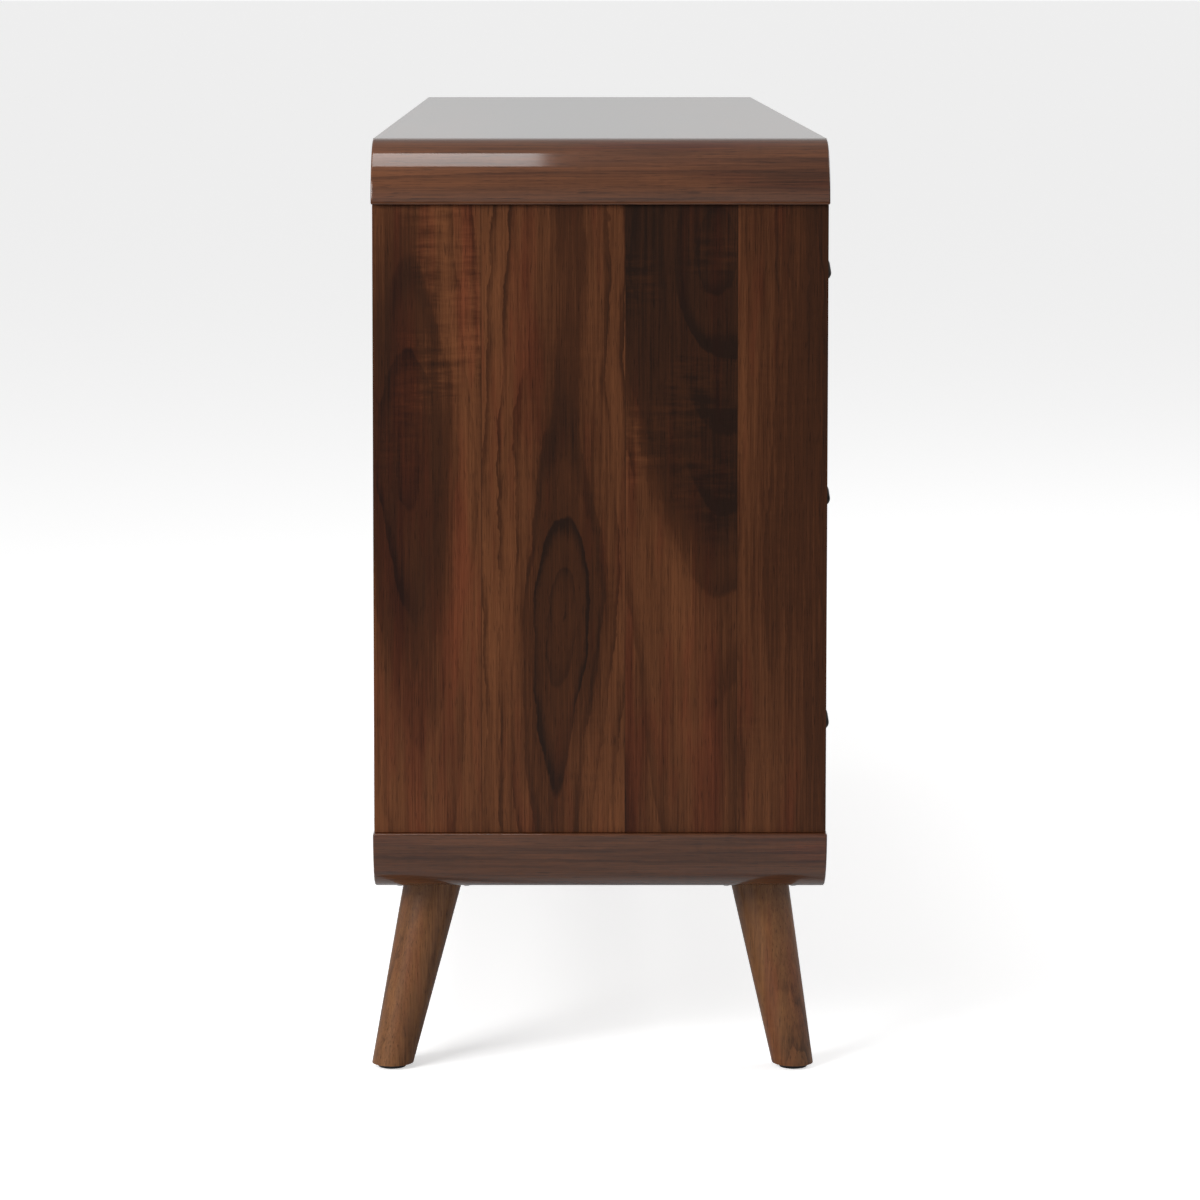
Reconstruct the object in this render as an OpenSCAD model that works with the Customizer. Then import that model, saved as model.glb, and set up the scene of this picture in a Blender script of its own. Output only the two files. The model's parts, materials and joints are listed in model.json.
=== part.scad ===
// Console television cabinet: a long veneered case with rounded end mouldings on four
// splayed legs. Three drawers stand at each end, and between them is an open equipment
// space over a pair of doors.
// Millimetres. +Z is up, the front faces -Y, and the origin is on the floor under the
// middle of the whole piece.

/* [Case] */
// Length of the case
case_w = 1700; // [1400:10:2100]
// Depth of the case, from its front edges to its back edges
case_d = 400; // [330:5:500]
// Height of the case without its legs
case_h = 666; // [550:2:820]
// Radius of the rounded mouldings along the four long corners of the ends
corner_r = 56; // [48:1:68]
// Thickness of the top and bottom panels
slab_t = 20; // [16:1:24]
// Thickness of the end panels
side_t = 20; // [16:1:24]
// Step of each end panel behind the faces of its mouldings
side_step = 6; // [2:1:10]
// Step of each end panel behind the mouldings at its front and back edges
side_edge_step = 1; // [0.5:0.5:3]
// Thickness of the upright dividers
divider_t = 18; // [15:1:22]
// Width of the opening for each column of drawers
column_w = 420; // [340:5:510]

/* [Shelves] */
// Height of the open space above the fixed shelf
niche_h = 200; // [160:5:240]
// Thickness of both shelves
shelf_t = 18; // [15:1:22]
// Height of the adjustable shelf's underside above the case floor
loose_shelf_h = 190; // [160:2:215]
// Room between the adjustable shelf and the dividers
loose_shelf_fit = 1; // [0.5:0.5:2]
// Setback of the adjustable shelf behind the doors
loose_shelf_setback = 12; // [6:1:30]
// Diameter of the shelf pins
shelf_pin_d = 5; // [4:0.5:6]
// Depth of the shelf pin holes in the dividers
shelf_pin_depth = 9; // [7:1:11]
// Length of each shelf pin that stands out under the shelf
shelf_pin_out = 9; // [7:1:14]
// Diameter of the collar on each shelf pin
shelf_collar_d = 8; // [7:0.5:10]
// Thickness of the collar on each shelf pin
shelf_collar_t = 1.5; // [1:0.5:3]
// Height between two shelf pin holes
shelf_hole_pitch = 32; // [24:1:32]
// Distance of each row of shelf pin holes from the shelf's front and back edges
shelf_hole_in = 50; // [35:1:70]

/* [Back] */
// Thickness of the back panel
back_t = 6; // [4:1:9]
// Recess of the back panel behind the back edges of the case
back_recess = 8; // [5:1:12]
// Lap of the back panel into the rebate around the case
back_lap = 9; // [7:1:12]
// Radius of the back panel's corners
back_corner_r = 25; // [22:1:28]
// Distance of the back panel's end screws from the corners of the case
back_screw_in = 60; // [40:5:90]
// Bore of the cable outlets
outlet_d = 54; // [40:1:60]
// Wall of the sleeve that lines each cable outlet
outlet_wall = 4; // [3:0.5:6]
// Width of the flange around each cable outlet
outlet_flange = 7; // [5:1:10]
// Thickness of the outlet flange
outlet_flange_t = 2; // [1.5:0.5:4]

/* [Doors and drawer fronts] */
// Thickness of the doors and drawer fronts
front_t = 18; // [15:1:22]
// Setback of the fronts, dividers and shelf behind the front edges of the case
front_setback = 4; // [1:0.5:8]
// Gap around each front
front_gap = 2.5; // [2.5:0.5:4]

/* [Drawers] */
// Height of a drawer box
box_h = 145; // [100:5:150]
// Height of a drawer box above the lower edge of its front
box_lift = 16; // [14:1:24]
// Thickness of the drawer box walls
box_wall = 12; // [10:1:15]
// Thickness of the drawer bottom
box_bottom_t = 6; // [4:0.5:8]
// Height of the groove for the drawer bottom
box_groove_z = 10; // [8:1:14]
// Depth of the groove for the drawer bottom
box_groove = 6; // [4:0.5:7]
// Room between the drawer boxes and the back panel
box_back_room = 25; // [15:1:50]

/* [Drawer slides] */
// Thickness of a whole slide, between the case and the drawer box
slide_t = 12.7; // [12.7:0.1:14]
// Height of a whole slide
slide_h = 45; // [45:1:52]
// Height of the slide's centre line above the bottom of the drawer box
slide_z = 60; // [50:1:70]
// Sheet thickness of the slide members
slide_sheet = 1.2; // [1:0.1:1.5]
// Room between two slide members, where the balls run
slide_room = 1.8; // [1.5:0.1:2]
// Room at each end of a slide
slide_end_room = 4; // [2:1:10]

/* [Pulls and knobs] */
// Width of a cup pull
pull_w = 96; // [76:2:128]
// Height of a cup pull
pull_h = 28; // [28:1:40]
// Projection of a cup pull from its drawer front
pull_out = 17; // [17:1:26]
// Wall of a cup pull
pull_wall = 2; // [1.5:0.1:2.6]
// Diameter of the bosses inside a cup pull
boss_d = 8; // [7:0.5:9]
// Distance between the two screws of a pull
pull_screw_pitch = 64; // [50:1:64]
// Diameter of a door knob
knob_d = 28; // [22:1:34]
// Projection of a door knob from its door
knob_out = 25; // [20:1:30]
// Thickness of a knob's rounded head
knob_head_t = 11.8; // [9:0.2:14]
// Diameter of a knob's neck
knob_neck_d = 13.4; // [10:0.2:18]
// Diameter of a knob's base
knob_base_d = 20; // [16:0.5:22]
// Thickness of a knob's base
knob_base_t = 3; // [2:0.5:5]
// Distance of a knob from the meeting edge of its door
knob_in = 34; // [28:1:60]
// Distance of a knob below the upper edge of its door
knob_drop = 80; // [50:5:120]
// Diameter of the screws of the pulls and knobs
fixing_d = 4; // [3.5:0.1:4.5]
// Diameter of the heads of those screws
fixing_head_d = 8; // [7:0.5:9]
// Thickness of the heads of those screws
fixing_head_t = 2.2; // [2:0.1:3]

/* [Hinges] */
// Height of a hinge
hinge_h = 60; // [50:1:80]
// Width of a hinge leaf behind the door's face
hinge_leaf_w = 16; // [12:0.5:17]
// Thickness of a hinge leaf
hinge_leaf_t = 1; // [0.8:0.1:1.1]
// Diameter of the hinge knuckles
hinge_knuckle_d = 6; // [5:0.5:6]
// Diameter of the hinge pin
hinge_pin_d = 3; // [2.5:0.1:3.2]
// Distance of the hinge pin in front of the door's face
hinge_pin_out = 3.5; // [3.5:0.1:5]
// Distance of each hinge from the end of its door
hinge_in = 50; // [40:5:70]

/* [Legs] */
// Height of the legs, with plates and glides
leg_h = 170; // [140:5:205]
// Diameter of a leg at its top
leg_top_d = 52; // [44:1:60]
// Diameter of a leg at its foot
leg_foot_d = 36; // [30:1:42]
// Distance of the legs' tops from the end faces of the case
leg_end_in = 101; // [85:1:125]
// How far each foot stands out towards the end
leg_splay = 28; // [10:1:34]
// Distance of the front legs' tops from the front edges of the case
front_leg_in = 56; // [48:0.5:70]
// How far each front foot stands forward
front_leg_rake = 31; // [10:0.5:36]
// Distance of the back legs' tops from the back edges of the case
back_leg_in = 51; // [45:0.5:70]
// How far each back foot stands back
back_leg_rake = 38; // [10:0.5:42]
// Side of the square steel plate over each leg
plate_w = 70; // [60:1:80]
// Thickness of the leg plates
plate_t = 2.5; // [2:0.5:4]
// Radius of the corners of the leg plates
plate_corner_r = 6; // [3:1:10]
// Width of steel outside each screw head on the leg plates
plate_screw_edge = 1.5; // [1:0.5:4]
// Diameter of the bolt between plate and leg
leg_bolt_d = 8; // [6:1:10]
// Length of the bolt in the leg
leg_bolt_l = 38; // [30:1:45]
// Diameter of the glides under the feet
glide_d = 26; // [20:1:28]
// Thickness of the glides
glide_t = 4; // [3:0.5:5]

/* [Screws and fits] */
// Diameter of the wood screws
screw_d = 3.6; // [3:0.1:4]
// Diameter of the heads of the wood screws
screw_head_d = 7; // [6:0.5:8]
// Thickness of the heads of the wood screws
screw_head_t = 2; // [1.5:0.1:2.5]
// Length of the wood screws under the head
screw_l = 15; // [12:1:16]
// Greatest distance between two screws along the back panel
back_screw_pitch = 320; // [200:10:400]
// Room around pieces that are set into each other
fit = 0.15; // [0.1:0.05:0.3]
// Room around screws in clearance holes and around the leg bolts
hole_fit = 0.3; // [0.2:0.05:0.5]
// Room around the hinge pin in the door's knuckle
pin_fit = 0.05; // [0.03:0.01:0.08]

/* [Hidden] */
$fn = 64;
HULL_FN = 28;
EPS = 1;
KNUCKLES = 3;
SHELF_HOLES = 5;

// Form of a cup pull: radius of its nose, radius of its upper ends, how far the nose leans
// back at its top, and how far the middle of that upper nose lies below the top
cup_nose_r = 9;
cup_end_r = 12;
cup_lean = 2.6;
cup_nose_drop = 10.8;

// The bosses of a pull end inside its front wall, this many walls behind its nose
BOSS_END_WALLS = 1.25;
// Metal beyond the blind holes for the pull and knob screws, and room beyond the screws
blind_end = 2;
blind_room = 1;

COLUMNS = ["left", "right"];
ROWS = ["bottom", "middle", "top"];
LEG_PLACES = [["front", "left"], ["front", "right"], ["back", "left"], ["back", "right"]];
DRAWER_PIECES = ["drawer_front", "drawer_box", "drawer_pull", "drawer_rails", "middle_rails"];

WALNUT = [0.34, 0.21, 0.14];
WALNUT_SOLID = [0.40, 0.25, 0.17];
WALNUT_LEG = [0.47, 0.33, 0.25];
MAPLE = [0.80, 0.68, 0.50];
BACKING = [0.28, 0.19, 0.14];
BRONZE = [0.10, 0.09, 0.08];
STEEL = [0.62, 0.63, 0.64];
DARK_PLASTIC = [0.08, 0.08, 0.08];

function sign_of(c) = c == "left" ? -1 : 1;

// A leg's axis from its top to its foot, and the reach of the cut foot in Y
function leg_line(depth, c) = [
    sign_of(c) * leg_splay,
    depth == "front" ? -front_leg_rake : back_leg_rake,
    -leg_h
];
function foot_reach(depth) =
    let (run = leg_line(depth, "right"), u = run / norm(run))
    leg_foot_d / 2 * sqrt(1 - u[0] * u[0]) / abs(u[2]);

// Front and back planes of the case, so that the whole piece is centred in Y
front_reach = case_d / 2 - front_setback + max(pull_out, knob_out);
back_reach = case_d / 2 - back_leg_in + back_leg_rake + foot_reach("back");
case_y = (front_reach - back_reach) / 2;
front_y = case_y - case_d / 2;
back_y = case_y + case_d / 2;

// Inside of the case
case_top = leg_h + case_h;
end_x = case_w / 2;
inner_x = end_x - side_step - side_t;
inner_bottom = leg_h + slab_t;
inner_top = case_top - slab_t;
back_front_y = back_y - back_recess - back_t;
centre_w = 2 * (inner_x - column_w - divider_t);

// Fronts
face_y = front_y + front_setback;
front_back_y = face_y + front_t;
shelf_z = inner_top - niche_h - shelf_t;
door_h = shelf_z - inner_bottom - 2 * front_gap;
door_w = (centre_w - 3 * front_gap) / 2;
drawer_front_w = column_w - 2 * front_gap;
drawer_front_h = (inner_top - inner_bottom - (len(ROWS) + 1) * front_gap) / len(ROWS);

// Drawer boxes and slides
box_w = column_w - 2 * slide_t;
box_d = back_front_y - box_back_room - front_back_y;
slide_l = box_d - 2 * slide_end_room;
middle_h = slide_h - 2 * slide_sheet - 2 * slide_room;
inner_rail_h = middle_h - 2 * slide_sheet - 2 * slide_room;

// Adjustable shelf
loose_shelf_y = front_back_y + loose_shelf_setback;
loose_shelf_d = back_front_y - loose_shelf_y - 2 * loose_shelf_fit;
loose_shelf_z = inner_bottom + loose_shelf_h;
shelf_pin_z = loose_shelf_z - shelf_pin_d / 2;

// Hinges
hinge_x = centre_w / 2 - front_gap / 2;
hinge_y = face_y - hinge_pin_out;
knuckle_h = hinge_h / KNUCKLES;
knuckle_room = 2 * fit;

function column_x(c) = sign_of(c) * (inner_x - column_w / 2);
function front_z(row) = inner_bottom + front_gap + row * (drawer_front_h + front_gap);
function box_z(row) = front_z(row) + box_lift;
function outlet_places() = [
    (inner_top + shelf_z + shelf_t) / 2,
    (shelf_z + loose_shelf_z + shelf_t) / 2,
    (loose_shelf_z + inner_bottom) / 2
];
function door_hinge_places() = [
    inner_bottom + front_gap + hinge_in,
    shelf_z - front_gap - hinge_in - hinge_h
];

// The number of equal steps along a length, each no longer than a pitch
function steps_along(length, pitch) = ceil(length / pitch);

// A box between two corners
module block(low, high) {
    translate(low) cube(high - low);
}

// Puts its children on the left, or mirrored on the right, of the middle plane
module on_side(c) {
    if (c == "left") {
        children();
    } else {
        mirror([1, 0, 0]) children();
    }
}

// Stands its children's Z axis along a line from one point to another
module between(from, to) {
    v = to - from;
    translate(from) rotate([0, acos(v[2] / norm(v)), atan2(v[1], v[0])]) children();
}

// A plate with round corners that laps into the back edges of the case, less some room
module lapped_plate(room, from_y, to_y) {
    half_w = inner_x + back_lap - room;
    half_h = (inner_top - inner_bottom) / 2 + back_lap - room;
    r = back_corner_r - room;
    translate([0, to_y, (inner_top + inner_bottom) / 2]) rotate([90, 0, 0])
        linear_extrude(height = to_y - from_y) union() {
            square([2 * half_w, 2 * (half_h - r)], center = true);
            square([2 * (half_w - r), 2 * half_h], center = true);
            for (sx = [-1, 1], sz = [-1, 1])
                translate([sx * (half_w - r), sz * (half_h - r)]) circle(r = r);
        }
}

// The rebate around the inside of the case's back edges
module back_rebate() {
    lapped_plate(0, back_front_y, back_y + EPS);
}

// A screw with its head under the origin's plane and its shank towards +Z
module screw(shank_d, shank_l, head_d, head_t) {
    translate([0, 0, -head_t]) cylinder(d = head_d, h = head_t);
    cylinder(d = shank_d, h = shank_l);
}

// ---- Case ----

module slab(z) {
    difference() {
        block([-end_x + corner_r, front_y, z], [end_x - corner_r, back_y, z + slab_t]);
        back_rebate();
    }
}

module top_panel() {
    color(WALNUT) slab(inner_top);
}

module bottom_panel() {
    color(WALNUT) slab(leg_h);
}

// Section of the upper left moulding: a quarter round with its inner corner cut away
module corner_section() {
    difference() {
        intersection() {
            circle(r = corner_r);
            translate([-corner_r, 0]) square(corner_r);
        }
        translate([-corner_r + side_step + side_t, 0])
            square([corner_r, corner_r - slab_t]);
    }
}

module end_moulding(level, c) {
    color(WALNUT_SOLID) on_side(c) difference() {
        translate([-end_x + corner_r, back_y, level == "top" ? case_top - corner_r : leg_h + corner_r])
            mirror([0, 0, level == "top" ? 0 : 1])
                rotate([90, 0, 0])
                    linear_extrude(height = case_d) corner_section();
        back_rebate();
    }
}

module side_panel(c) {
    color(WALNUT) on_side(c) difference() {
        block(
            [-end_x + side_step, front_y + side_edge_step, leg_h + corner_r],
            [-inner_x, back_y - side_edge_step, case_top - corner_r]
        );
        back_rebate();
    }
}

// ---- Dividers and shelves ----

module shelf_pin_holes() {
    for (y = [loose_shelf_y + shelf_hole_in, loose_shelf_y + loose_shelf_d - shelf_hole_in])
        for (i = [0:SHELF_HOLES - 1])
            translate([0, y, shelf_pin_z + (i - (SHELF_HOLES - 1) / 2) * shelf_hole_pitch])
                rotate([0, 90, 0])
                    cylinder(d = shelf_pin_d + 2 * fit, h = 2 * shelf_pin_depth, center = true);
}

module divider(c) {
    color(WALNUT) on_side(c) difference() {
        block(
            [-centre_w / 2 - divider_t, face_y, inner_bottom],
            [-centre_w / 2, back_front_y, inner_top]
        );
        translate([-centre_w / 2, 0, 0]) shelf_pin_holes();
    }
}

module fixed_shelf() {
    color(WALNUT) block(
        [-centre_w / 2, face_y, shelf_z],
        [centre_w / 2, back_front_y, shelf_z + shelf_t]
    );
}

module adjustable_shelf() {
    color(WALNUT) block(
        [-centre_w / 2 + loose_shelf_fit, loose_shelf_y, loose_shelf_z],
        [centre_w / 2 - loose_shelf_fit, loose_shelf_y + loose_shelf_d, loose_shelf_z + shelf_t]
    );
}

// Each pin is a peg in the divider, with a wider collar that is cut away above the peg
module shelf_pins() {
    color(STEEL) for (c = COLUMNS) on_side(c)
        for (y = [loose_shelf_y + shelf_hole_in, loose_shelf_y + loose_shelf_d - shelf_hole_in])
            translate([-centre_w / 2, y, shelf_pin_z]) rotate([0, 90, 0]) {
                translate([0, 0, -shelf_pin_depth + fit])
                    cylinder(d = shelf_pin_d, h = shelf_pin_depth + shelf_pin_out);
                difference() {
                    cylinder(d = shelf_collar_d, h = shelf_collar_t);
                    block(
                        [-shelf_collar_d, -shelf_collar_d, -EPS],
                        [-shelf_pin_d / 2, shelf_collar_d, shelf_collar_t + EPS]
                    );
                }
            }
}

// ---- Back ----

// Where the back panel's screws go, as [x, z]
function back_screw_places() =
    let (
        lap = back_lap / 2,
        x = inner_x - back_screw_in,
        low = inner_bottom + back_screw_in,
        high = inner_top - back_screw_in,
        nx = steps_along(2 * x, back_screw_pitch),
        nz = steps_along(high - low, back_screw_pitch)
    )
    concat(
        [for (z = [inner_bottom - lap, inner_top + lap], i = [0:nx]) [-x + 2 * x * i / nx, z]],
        [for (s = [-1, 1], i = [0:nz]) [s * (inner_x + lap), low + (high - low) * i / nz]]
    );

module back_panel() {
    color(BACKING) difference() {
        lapped_plate(fit, back_front_y, back_front_y + back_t);
        for (z = outlet_places())
            translate([0, back_front_y - EPS, z]) rotate([-90, 0, 0])
                cylinder(d = outlet_d + 2 * outlet_wall + 2 * fit, h = back_t + 2 * EPS);
        for (p = back_screw_places())
            translate([p[0], back_front_y - EPS, p[1]]) rotate([-90, 0, 0])
                cylinder(d = screw_d + 2 * hole_fit, h = back_t + 2 * EPS);
    }
}

// A sleeve through the back panel with a flange on its outer face
module cable_grommets() {
    color(DARK_PLASTIC) for (z = outlet_places())
        translate([0, back_front_y, z]) rotate([-90, 0, 0]) difference() {
            union() {
                cylinder(d = outlet_d + 2 * outlet_wall, h = back_t);
                translate([0, 0, back_t])
                    cylinder(d = outlet_d + 2 * (outlet_wall + outlet_flange), h = outlet_flange_t);
            }
            translate([0, 0, -EPS])
                cylinder(d = outlet_d, h = back_t + outlet_flange_t + 2 * EPS);
        }
}

module wood_screws() {
    color(STEEL) {
        for (p = back_screw_places())
            translate([p[0], back_front_y + back_t, p[1]]) rotate([90, 0, 0])
                screw(screw_d, screw_l + back_t, screw_head_d, screw_head_t);
        for (p = LEG_PLACES)
            translate(leg_top(p[0], p[1])) for (q = plate_screw_places())
                translate([q[0], q[1], -plate_t])
                    screw(screw_d, screw_l, screw_head_d, screw_head_t);
    }
}

// ---- Legs ----

function leg_top(depth, c) = [
    sign_of(c) * (end_x - leg_end_in),
    depth == "front" ? front_y + front_leg_in : back_y - back_leg_in,
    leg_h
];
function plate_screw_places() =
    let (a = plate_w / 2 - screw_head_d / 2 - plate_screw_edge)
    [for (sx = [-1, 1], sy = [-1, 1]) [sx * a, sy * a]];

// A round tapered leg about its raked axis, cut level under its plate and over its glide.
// The quarter turn keeps the cone's seam on the side of the leg, clear of the slanting ends
module leg(depth, c) {
    over = 0.2; // share of its length that the cone runs past the leg at each end
    top = leg_top(depth, c);
    run = leg_line(depth, c);
    grow = (leg_top_d - leg_foot_d) * over;
    color(WALNUT_LEG) difference() {
        intersection() {
            between(top + run * (1 + over), top - run * over) rotate([0, 0, 90])
                cylinder(
                    d1 = leg_foot_d - grow,
                    d2 = leg_top_d + grow,
                    h = norm(run) * (1 + 2 * over)
                );
            translate([top[0], top[1], (glide_t + leg_h - plate_t) / 2])
                cube([4 * leg_h, 4 * leg_h, leg_h - plate_t - glide_t], center = true);
        }
        between(top, top + run)
            cylinder(d = leg_bolt_d + 2 * hole_fit, h = leg_bolt_l + hole_fit);
    }
}

// A steel plate over each leg, with the leg's bolt standing out of it along the leg
module leg_plates() {
    inner_w = plate_w - 2 * plate_corner_r;
    color(STEEL) for (p = LEG_PLACES) {
        top = leg_top(p[0], p[1]);
        run = leg_line(p[0], p[1]);
        translate([top[0], top[1], leg_h - plate_t]) difference() {
            linear_extrude(height = plate_t) union() {
                square([plate_w, inner_w], center = true);
                square([inner_w, plate_w], center = true);
                for (sx = [-1, 1], sy = [-1, 1])
                    translate([sx, sy] * inner_w / 2) circle(r = plate_corner_r);
            }
            for (q = plate_screw_places())
                translate([q[0], q[1], -EPS])
                    cylinder(d = screw_d + 2 * hole_fit, h = plate_t + 2 * EPS);
        }
        intersection() {
            between(top, top + run) cylinder(d = leg_bolt_d, h = leg_bolt_l);
            translate([top[0], top[1], leg_h / 2])
                cube([2 * leg_h, 2 * leg_h, leg_h - plate_t], center = true);
        }
    }
}

module leg_glides() {
    color(DARK_PLASTIC) for (p = LEG_PLACES) {
        at = leg_top(p[0], p[1]) + leg_line(p[0], p[1]) * (1 - glide_t / leg_h / 2);
        translate([at[0], at[1], 0]) cylinder(d = glide_d, h = glide_t);
    }
}

// ---- Doors ----

module door(c) {
    color(WALNUT) on_side(c) difference() {
        block(
            [-centre_w / 2 + front_gap, face_y, inner_bottom + front_gap],
            [-centre_w / 2 + front_gap + door_w, front_back_y, inner_bottom + front_gap + door_h]
        );
        translate([knob_x(), face_y - EPS, knob_z()]) rotate([-90, 0, 0])
            cylinder(d = fixing_d + 2 * hole_fit, h = front_t + 2 * EPS);
    }
}

function knob_x() = -front_gap / 2 - knob_in;
function knob_z() = shelf_z - front_gap - knob_drop;

// A turned knob on a slim neck, with its screw from inside the door
module door_knob(c) {
    head_y = knob_out - knob_head_t / 2;
    hole_l = knob_out / 2;
    color(BRONZE) on_side(c) translate([knob_x(), face_y, knob_z()]) {
        rotate([90, 0, 0]) difference() {
            rotate_extrude() union() {
                square([knob_base_d / 2, knob_base_t]);
                square([knob_neck_d / 2, head_y]);
                intersection() {
                    translate([0, head_y]) scale([knob_d / knob_head_t, 1]) circle(d = knob_head_t);
                    square([knob_d, 2 * knob_out]);
                }
            }
            translate([0, 0, -EPS]) cylinder(d = fixing_d + 2 * fit, h = EPS + hole_l);
        }
        translate([0, front_t, 0]) rotate([90, 0, 0])
            screw(fixing_d, front_t + hole_l - blind_room, fixing_head_d, fixing_head_t);
    }
}

// One hinge leaf with its knuckles. mine says which knuckles it has, and side where it lies
module hinge_leaf(side, mine) {
    near = side > 0 ? front_gap / 2 - hinge_leaf_t : -front_gap / 2;
    for (k = [0:KNUCKLES - 1]) {
        own = (k % 2 == 0) == mine;
        low = k * knuckle_h;
        start = own ? 0 : hinge_knuckle_d / 2 + knuckle_room;
        block([near, start, low], [near + hinge_leaf_t, hinge_pin_out + hinge_leaf_w, low + knuckle_h]);
        if (own) {
            room_low = k == 0 ? 0 : knuckle_room / 2;
            room_high = k == KNUCKLES - 1 ? 0 : knuckle_room / 2;
            translate([0, 0, low + room_low])
                cylinder(d = hinge_knuckle_d, h = knuckle_h - room_low - room_high);
        }
    }
}

// The fixed leaves hold the hinge pins
module case_hinge_leaves() {
    color(BRONZE) for (c = COLUMNS, z = door_hinge_places()) on_side(c)
        translate([-hinge_x, hinge_y, z]) {
            hinge_leaf(-1, true);
            cylinder(d = hinge_pin_d, h = hinge_h);
        }
}

module door_hinge_leaves(c) {
    color(BRONZE) for (z = door_hinge_places()) on_side(c)
        translate([-hinge_x, hinge_y, z]) difference() {
            hinge_leaf(1, false);
            translate([0, 0, -EPS])
                cylinder(d = hinge_pin_d + 2 * pin_fit, h = hinge_h + 2 * EPS);
        }
}

// ---- Drawers ----

// Puts its children at the middle of a drawer front's outer face
module at_drawer(c, row) {
    translate([column_x(c), face_y, front_z(row) + drawer_front_h / 2]) children();
}

module pull_screw_holes() {
    for (s = [-1, 1])
        translate([s * pull_screw_pitch / 2, -EPS, 0]) rotate([-90, 0, 0])
            cylinder(d = fixing_d + 2 * hole_fit, h = front_t + box_wall + 2 * EPS);
}

module drawer_front(c, row) {
    color(WALNUT) at_drawer(c, row) difference() {
        block(
            [-drawer_front_w / 2, 0, -drawer_front_h / 2],
            [drawer_front_w / 2, front_t, drawer_front_h / 2]
        );
        pull_screw_holes();
    }
}

// Four walls with a groove, and the bottom that sits in it
module drawer_box(c, row) {
    half = box_w / 2;
    inside = half - box_wall;
    groove = inside + box_groove;
    z = box_lift - drawer_front_h / 2;
    color(MAPLE) at_drawer(c, row) {
        difference() {
            block([-half, front_t, z], [half, front_t + box_d, z + box_h]);
            block(
                [-inside, front_t + box_wall, z - EPS],
                [inside, front_t + box_d - box_wall, z + box_h + EPS]
            );
            block(
                [-groove, front_t + box_wall - box_groove, z + box_groove_z],
                [groove, front_t + box_d - box_wall + box_groove, z + box_groove_z + box_bottom_t]
            );
            pull_screw_holes();
        }
        block(
            [-groove + fit, front_t + box_wall - box_groove + fit, z + box_groove_z + fit],
            [
                groove - fit,
                front_t + box_d - box_wall + box_groove - fit,
                z + box_groove_z + box_bottom_t - fit
            ]
        );
    }
}

// The form of a cup pull, drawn in by a wall. Its blunt nose slopes forward to its lower
// edge, and each value in drops carries the lower edge that much further down
module cup_form(wall, drops) {
    half = pull_w / 2;
    upper_y = cup_nose_r + cup_lean - pull_out;
    hull() for (s = [-1, 1]) {
        translate([s * (half - cup_nose_r), upper_y, pull_h / 2 - cup_nose_drop])
            sphere(r = cup_nose_r - wall, $fn = HULL_FN);
        translate([s * (half - cup_end_r), EPS, pull_h / 2 - cup_end_r])
            rotate([90, 0, 0]) cylinder(r = cup_end_r - wall, h = EPS, $fn = HULL_FN);
        for (drop = drops) translate([s * (half - cup_nose_r), 0, cup_nose_r - pull_h / 2 - drop]) {
            translate([0, -pull_out + cup_nose_r, 0])
                sphere(r = cup_nose_r - wall, $fn = HULL_FN);
            translate([0, EPS, 0])
                rotate([90, 0, 0]) cylinder(r = cup_nose_r - wall, h = EPS, $fn = HULL_FN);
        }
    }
}

// A cup pull, open below for the fingers, with a boss for each of its two screws
module drawer_pull(c, row) {
    boss_l = pull_out - BOSS_END_WALLS * pull_wall;
    hole_l = boss_l - blind_end;
    color(BRONZE) at_drawer(c, row) {
        difference() {
            union() {
                difference() {
                    cup_form(0, [0]);
                    cup_form(pull_wall, [0, pull_h]);
                }
                for (s = [-1, 1])
                    translate([s * pull_screw_pitch / 2, 0, 0]) rotate([90, 0, 0])
                        cylinder(d = boss_d, h = boss_l);
            }
            block([-pull_w, 0, -pull_h], [pull_w, pull_out, pull_h]);
            for (s = [-1, 1])
                translate([s * pull_screw_pitch / 2, EPS, 0]) rotate([90, 0, 0])
                    cylinder(d = fixing_d + 2 * fit, h = EPS + hole_l);
        }
        for (s = [-1, 1])
            translate([s * pull_screw_pitch / 2, front_t + box_wall, 0]) rotate([90, 0, 0])
                screw(
                    fixing_d,
                    front_t + box_wall + hole_l - blind_room,
                    fixing_head_d,
                    fixing_head_t
                );
    }
}

// ---- Drawer slides ----

// A channel of sheet steel along Y, with its web at the low X side and its mouth at the high
module channel(height, depth) {
    difference() {
        block([0, 0, -height / 2], [depth, slide_l, height / 2]);
        block(
            [slide_sheet, -EPS, -height / 2 + slide_sheet],
            [depth + EPS, slide_l + EPS, height / 2 - slide_sheet]
        );
    }
}

// Puts its children at both slides of a drawer, with X running from the case to the box
module at_slides(c, row) {
    for (s = [-1, 1])
        translate([
            column_x(c) + s * column_w / 2,
            front_back_y + slide_end_room,
            box_z(row) + slide_z
        ])
            mirror([s < 0 ? 0 : 1, 0, 0]) children();
}

module case_rails() {
    color(STEEL) for (c = COLUMNS, row = [0:len(ROWS) - 1])
        at_slides(c, row) channel(slide_h, slide_t - slide_room - slide_sheet);
}

module middle_rails(c, row) {
    start = slide_sheet + slide_room / 2;
    color(STEEL) at_slides(c, row)
        translate([start, 0, 0]) channel(middle_h, slide_t - slide_room - slide_sheet / 2 - start);
}

module drawer_rails(c, row) {
    depth = slide_t / 2;
    color(STEEL) at_slides(c, row)
        translate([slide_t, 0, 0]) mirror([1, 0, 0]) channel(inner_rail_h, depth);
}

// ---- The pieces ----

top_panel();
bottom_panel();
fixed_shelf();
adjustable_shelf();
shelf_pins();
back_panel();
cable_grommets();
wood_screws();
leg_plates();
leg_glides();
case_rails();
case_hinge_leaves();

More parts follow.
